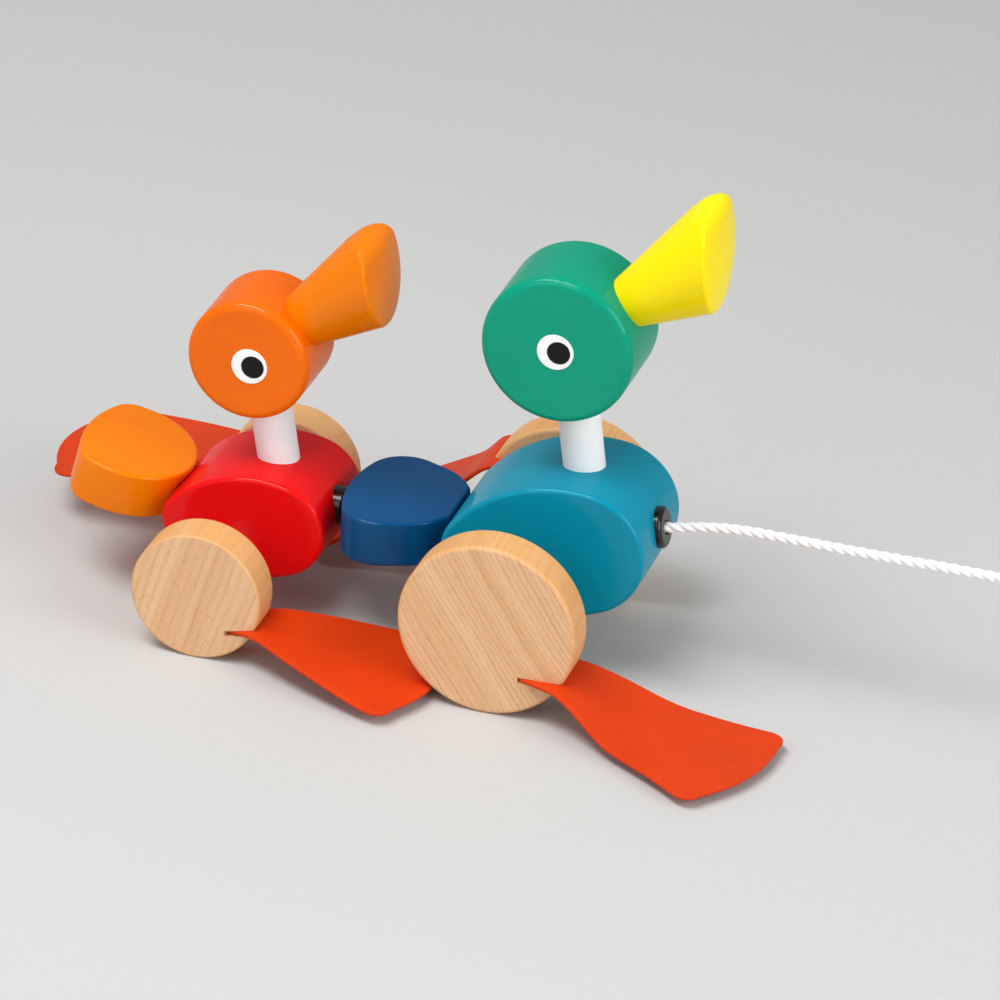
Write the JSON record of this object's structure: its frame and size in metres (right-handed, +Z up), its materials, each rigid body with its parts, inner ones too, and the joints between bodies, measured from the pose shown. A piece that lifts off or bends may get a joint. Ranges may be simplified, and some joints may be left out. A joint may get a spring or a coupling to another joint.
{
  "type": "pull toy",
  "caption": "Tandem duck pull toy: painted wooden ducks hitched in line on turning wheels with soft slapping flippers, pulled by a cord.",
  "frame": {"origin": "on the floor under the middle of the toy's box, the cord left out", "axes": "+X forward, the way it is pulled, +Y to the ducks' left, +Z up"},
  "size_m": [0.2952, 0.1362, 0.1399],
  "materials": {
    "teal_paint": "satin paint on wood",
    "green_paint": "satin paint on wood",
    "yellow_paint": "satin paint on wood",
    "blue_paint": "satin paint on wood",
    "red_paint": "satin paint on wood",
    "orange_paint": "satin paint on wood",
    "light_orange_paint": "satin paint on wood",
    "white_paint": "satin paint on wood",
    "bare_wood": "sanded beech, clear lacquer",
    "eye_white": "satin",
    "eye_black": "satin",
    "black_plastic": "gloss",
    "sleeve_plastic": "matt",
    "steel": "drawn",
    "orange_rubber": "matt",
    "white_cord": "twisted cotton"
  },
  "bodies": {
    "lead_duck": {"lead_body": "teal_paint", "lead_neck": "white_paint", "lead_head": "green_paint", "lead_beak": "yellow_paint", "lead_eye_right": "eye_white", "lead_eye_left": "eye_white", "lead_pupil_right": "eye_black", "lead_pupil_left": "eye_black", "lead_tail": "blue_paint", "lead_tail_dowel": "bare_wood", "hitch_pin": "steel", "chest_grommet": "black_plastic", "pull_cord": "white_cord", "cord_stop_knot": "white_cord", "cord_end_knot": "white_cord"},
    "lead_wheels": {"lead_axle": "steel", "lead_wheel_right": "bare_wood", "lead_wheel_left": "bare_wood", "lead_sleeve_right": "sleeve_plastic", "lead_sleeve_left": "sleeve_plastic", "lead_flipper_right": "orange_rubber", "lead_flipper_left": "orange_rubber"},
    "second_duck": {"second_body": "red_paint", "second_neck": "white_paint", "second_head": "orange_paint", "second_beak": "light_orange_paint", "second_eye_right": "eye_white", "second_eye_left": "eye_white", "second_pupil_right": "eye_black", "second_pupil_left": "eye_black", "second_tail": "light_orange_paint", "second_tail_dowel": "bare_wood", "hitch_link": "black_plastic"},
    "second_wheels": {"second_axle": "steel", "second_wheel_right": "bare_wood", "second_wheel_left": "bare_wood", "second_sleeve_right": "sleeve_plastic", "second_sleeve_left": "sleeve_plastic", "second_flipper_right": "orange_rubber", "second_flipper_left": "orange_rubber"}
  },
  "joints": [
    {"name": "lead_wheels_turn", "type": "hinge", "parent": "lead_duck", "child": "lead_wheels", "pos_m": [0.03497, 0.00426, 0.025], "axis": [0, -1, 0], "continuous": true, "deforming": ["lead_flipper_right", "lead_flipper_left"]},
    {"name": "hitch_swing", "type": "hinge", "parent": "lead_duck", "child": "second_duck", "pos_m": [-0.01175, 0.00426, 0.031], "axis": [0, 0, 1], "range_deg": [-10, 10], "deforming": ["second_flipper_right", "second_flipper_left"]},
    {"name": "second_wheels_turn", "type": "hinge", "parent": "second_duck", "child": "second_wheels", "pos_m": [-0.04743, 0.00426, 0.0185], "axis": [0, -1, 0], "continuous": true, "deforming": ["second_flipper_right", "second_flipper_left"]}
  ]
}
